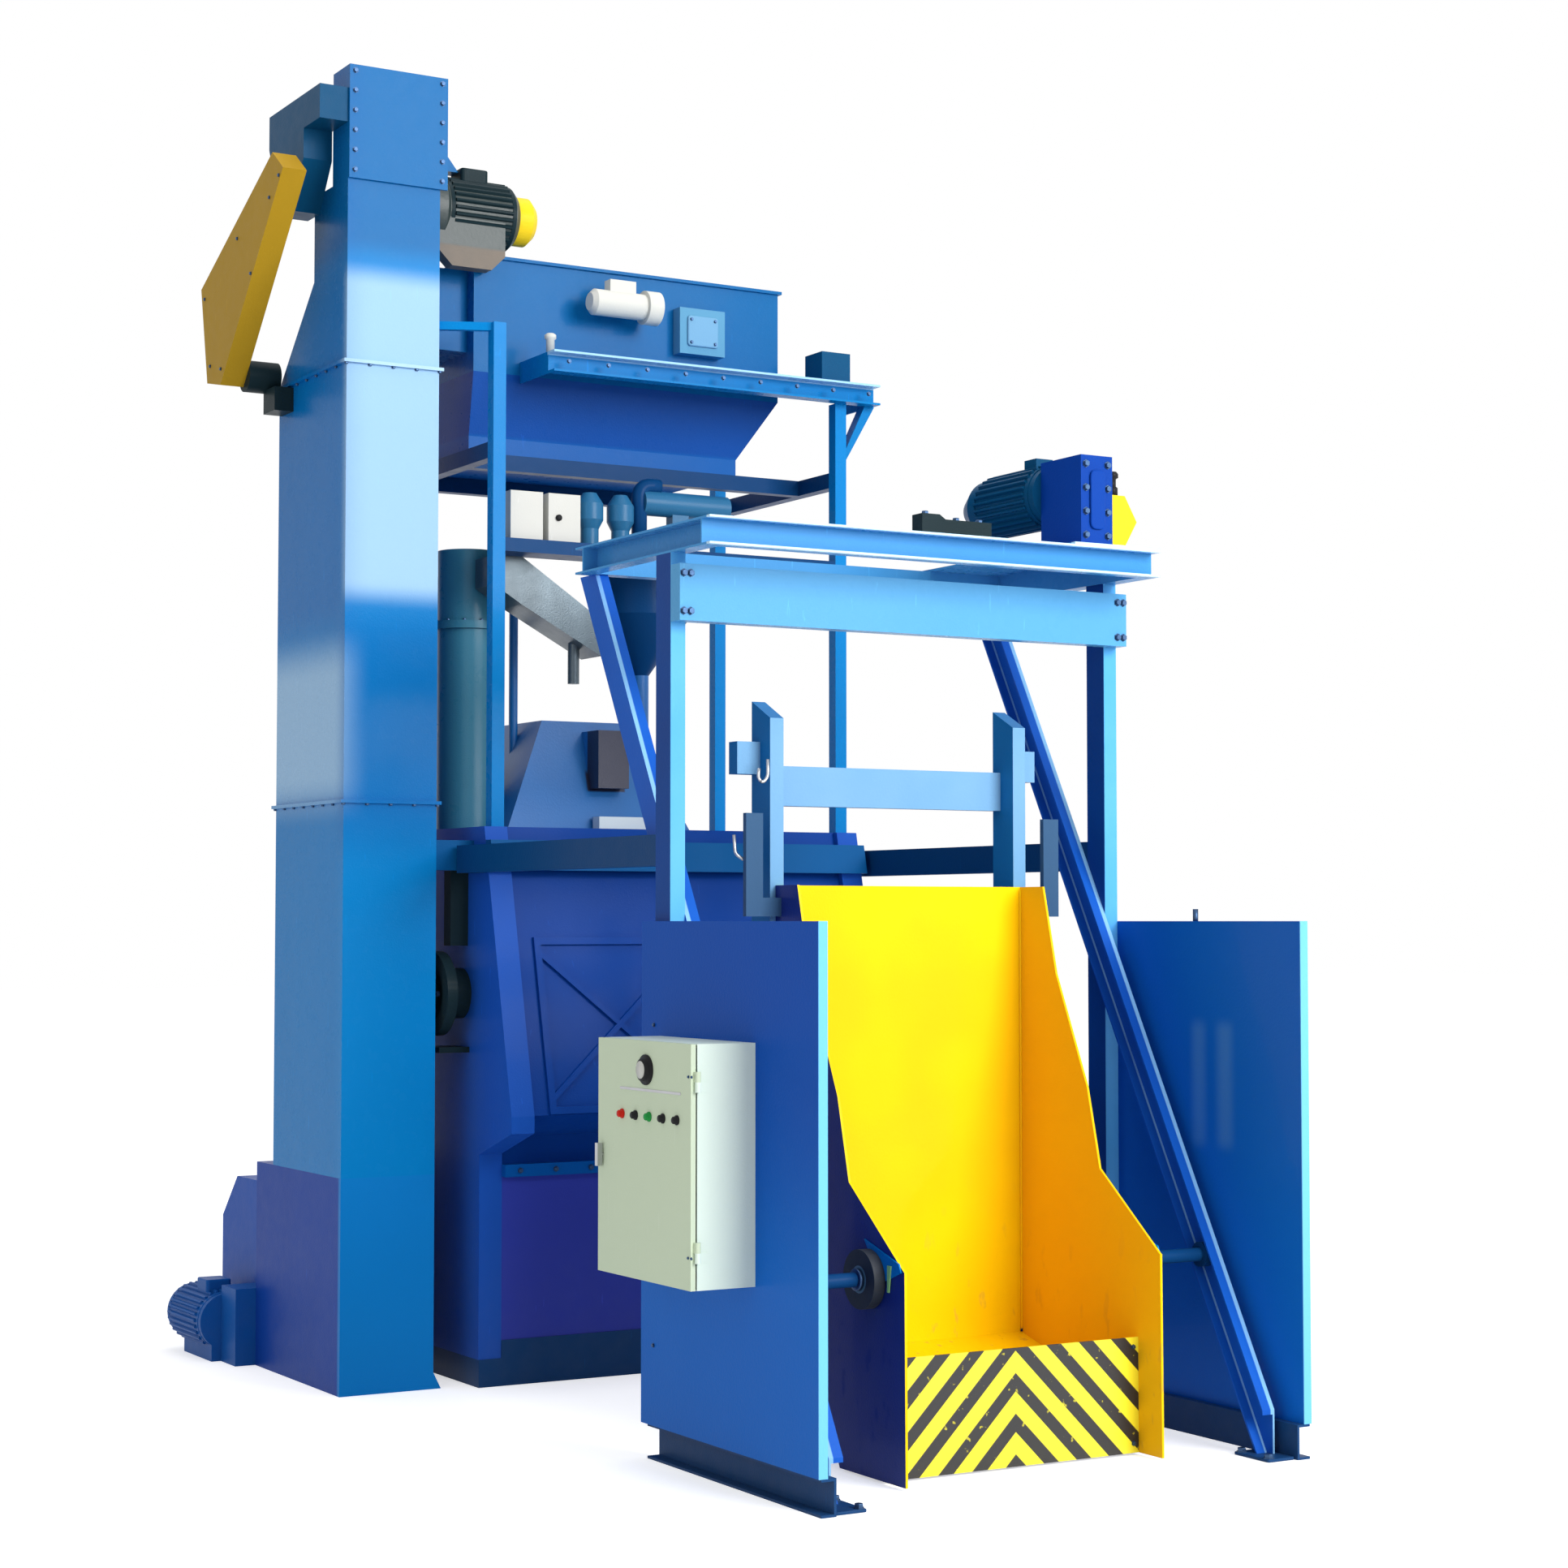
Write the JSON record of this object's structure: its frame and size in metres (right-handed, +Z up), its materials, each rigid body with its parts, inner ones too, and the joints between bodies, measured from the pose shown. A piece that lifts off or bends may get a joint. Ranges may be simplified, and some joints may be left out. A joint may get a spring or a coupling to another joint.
{
  "type": "tumble belt shot blasting machine",
  "caption": "Shot blasting machine with a leaning-front blast cabinet, tall bucket elevator, separator tower and a front skip loader that runs up sloping rails between side guards.",
  "frame": {"origin": "centre of the blast chamber's base, on the floor", "axes": "+X to the right seen from the loader, +Y from the loader to the back of the chamber, +Z up"},
  "size_m": [2.4475, 4.08, 4.785],
  "materials": {
    "black_rubber": "black moulded rubber",
    "blue_paint": "glossy blue machine paint",
    "cabinet_paint": "pale grey-green powder coat",
    "cream_paint": "cream enamel",
    "dark_enamel": "dark green-black enamel",
    "deep_blue_paint": "darker blue paint of recessed and shaded panels",
    "grey_steel": "grey-blue sheet steel",
    "motor_paint": "dark teal motor enamel",
    "mustard_paint": "muted mustard yellow paint",
    "pale_blue_paint": "pale grey-blue paint",
    "steel": "machined steel",
    "striped_paint": "yellow paint with black warning stripes",
    "yellow_paint": "bright yellow paint",
    "yellow_plastic": "yellow plastic fan cap"
  },
  "bodies": {
    "machine": {"belt_drive": "motor_paint", "belt_guard": "mustard_paint", "belt_motor": "motor_paint", "blast_wheel_housing": "blue_paint", "boot_motor": "motor_paint", "boot_tail": "blue_paint", "cabinet_box": "cabinet_paint", "cabinet_panel": "steel", "cap_beam": "deep_blue_paint", "chamber_base": "deep_blue_paint", "chamber_body": "deep_blue_paint", "chamber_jambs": "blue_paint", "control_boxes": "cream_paint", "door_ribs": "blue_paint", "elevator_boot": "blue_paint", "elevator_head": "blue_paint", "elevator_lower_casing": "blue_paint", "elevator_upper_casing": "blue_paint", "feed_trough": "grey_steel", "front_door": "blue_paint", "front_ledge": "blue_paint", "gantry_posts": "blue_paint", "guard_feet": "blue_paint", "head_bearing": "motor_paint", "head_fan_cap": "yellow_plastic", "head_gear_motor": "dark_enamel", "hoist_bearing": "dark_enamel", "hoist_coupling_guard": "yellow_paint", "hoist_gearbox": "dark_enamel", "hoist_motor": "motor_paint", "lintel": "blue_paint", "lower_panel": "deep_blue_paint", "platform": "blue_paint", "platform_box": "motor_paint", "rails": "blue_paint", "separator_box": "blue_paint", "separator_funnel": "blue_paint", "separator_motor": "cream_paint", "shot_hopper": "grey_steel", "side_guards": "blue_paint", "tie_beams": "blue_paint", "top_frame": "blue_paint", "tower_beams": "blue_paint", "tower_posts": "blue_paint", "tower_valves": "pale_blue_paint", "vent_duct": "motor_paint"},
    "skip": {"skip_axles": "steel", "skip_bucket": "yellow_paint", "skip_frame": "blue_paint", "skip_front_plate": "striped_paint", "skip_hangers": "blue_paint"},
    "left_wheel": {"skip_wheel_left": "black_rubber"},
    "right_wheel": {"skip_wheel_right": "black_rubber"},
    "cabinet_door": {"cabinet_door": "cabinet_paint"},
    "cabinet_latch": {"cabinet_latch": "steel"}
  },
  "joints": [
    {"name": "skip_lift", "type": "slide", "parent": "machine", "child": "skip", "axis": [0, 0.4881, 0.8728], "range_m": [0, 0.7]},
    {"name": "left_wheel_spin", "type": "hinge", "parent": "skip", "child": "left_wheel", "pos_m": [-0.505, -2.68763, 0.605], "axis": [1, 0, 0], "continuous": true},
    {"name": "right_wheel_spin", "type": "hinge", "parent": "skip", "child": "right_wheel", "pos_m": [0.505, -2.68763, 0.605], "axis": [1, 0, 0], "continuous": true},
    {"name": "cabinet_door_hinge", "type": "hinge", "parent": "machine", "child": "cabinet_door", "pos_m": [-1.1, -2.731, 0.9685], "axis": [0, 0, 1], "range_deg": [0, 110]},
    {"name": "cabinet_latch_turn", "type": "hinge", "parent": "cabinet_door", "child": "cabinet_latch", "pos_m": [-1.1185, -2.152, 0.9685], "axis": [1, 0, 0], "range_deg": [0, 90]}
  ]
}
